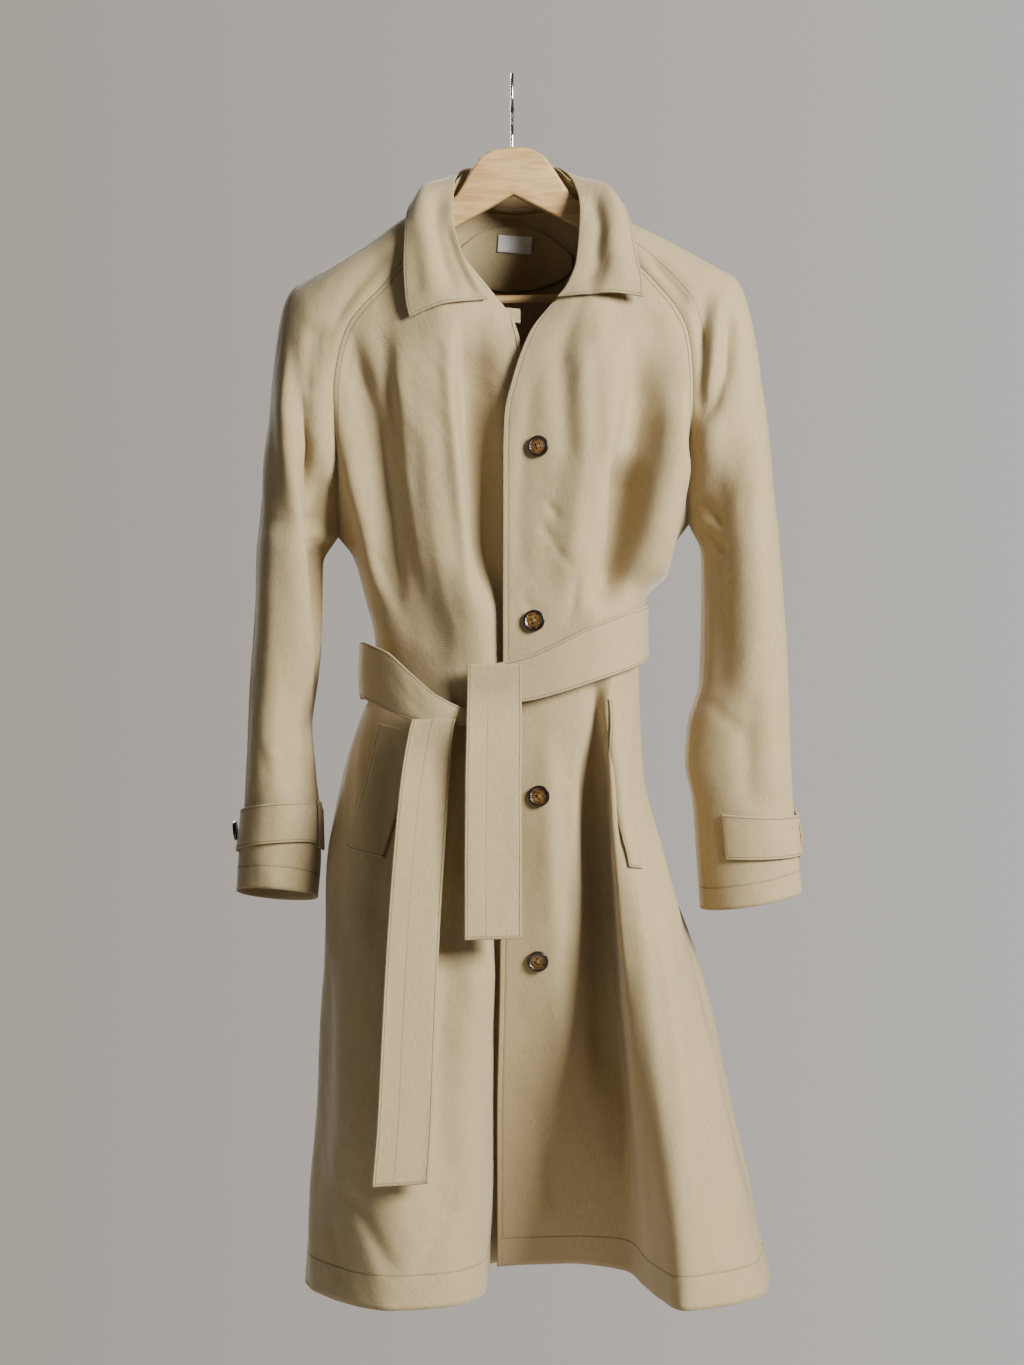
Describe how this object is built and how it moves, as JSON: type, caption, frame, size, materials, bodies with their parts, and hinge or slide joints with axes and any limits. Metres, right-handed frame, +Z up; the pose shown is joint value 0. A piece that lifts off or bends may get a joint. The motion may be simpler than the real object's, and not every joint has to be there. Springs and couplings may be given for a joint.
{
  "type": "trench coat on a hanger",
  "caption": "Belted raglan trench coat with a pointed collar, buttoned front and strapped cuffs, hanging open-hemmed on a wooden hanger with a wire hook.",
  "frame": {"origin": "inside of the crown of the hanger's hook, where a rail carries it", "axes": "+Z up, the coat's front faces -Y, +X towards the wearer's left"},
  "size_m": [0.5725, 0.3109, 1.2035],
  "materials": {
    "gabardine": "cotton gabardine, fine twill, soft matt sheen",
    "lining": "smooth dark lining",
    "label": "white woven label, blank",
    "horn": "horn, turned and polished",
    "maple": "light hardwood, satin varnish",
    "chrome": "bright nickel-plated wire"
  },
  "bodies": {
    "root": {"front_right": "gabardine", "front_left": "gabardine", "back": "gabardine", "sleeve_right_front": "gabardine", "sleeve_right_back": "gabardine", "sleeve_left_front": "gabardine", "sleeve_left_back": "gabardine", "collar_fall": "gabardine", "collar_stand": "gabardine", "neck_facing": "gabardine", "neck_tab": "gabardine", "belt_left": "gabardine", "belt_back": "gabardine", "belt_right": "gabardine", "belt_short_end": "gabardine", "belt_long_end": "gabardine", "pocket_welt_right": "gabardine", "pocket_welt_left": "gabardine", "cuff_strap_right": "gabardine", "cuff_strap_left": "gabardine", "strap_loop_right": "gabardine", "strap_loop_left": "gabardine", "back_lining": "lining", "neck_label": "label", "front_button_1": "horn", "front_button_2": "horn", "front_button_3": "horn", "front_button_4": "horn", "strap_button_right": "horn", "strap_button_left": "horn", "hanger_body": "maple", "hanger_bar": "maple", "hanger_hook": "chrome"}
  },
  "joints": []
}
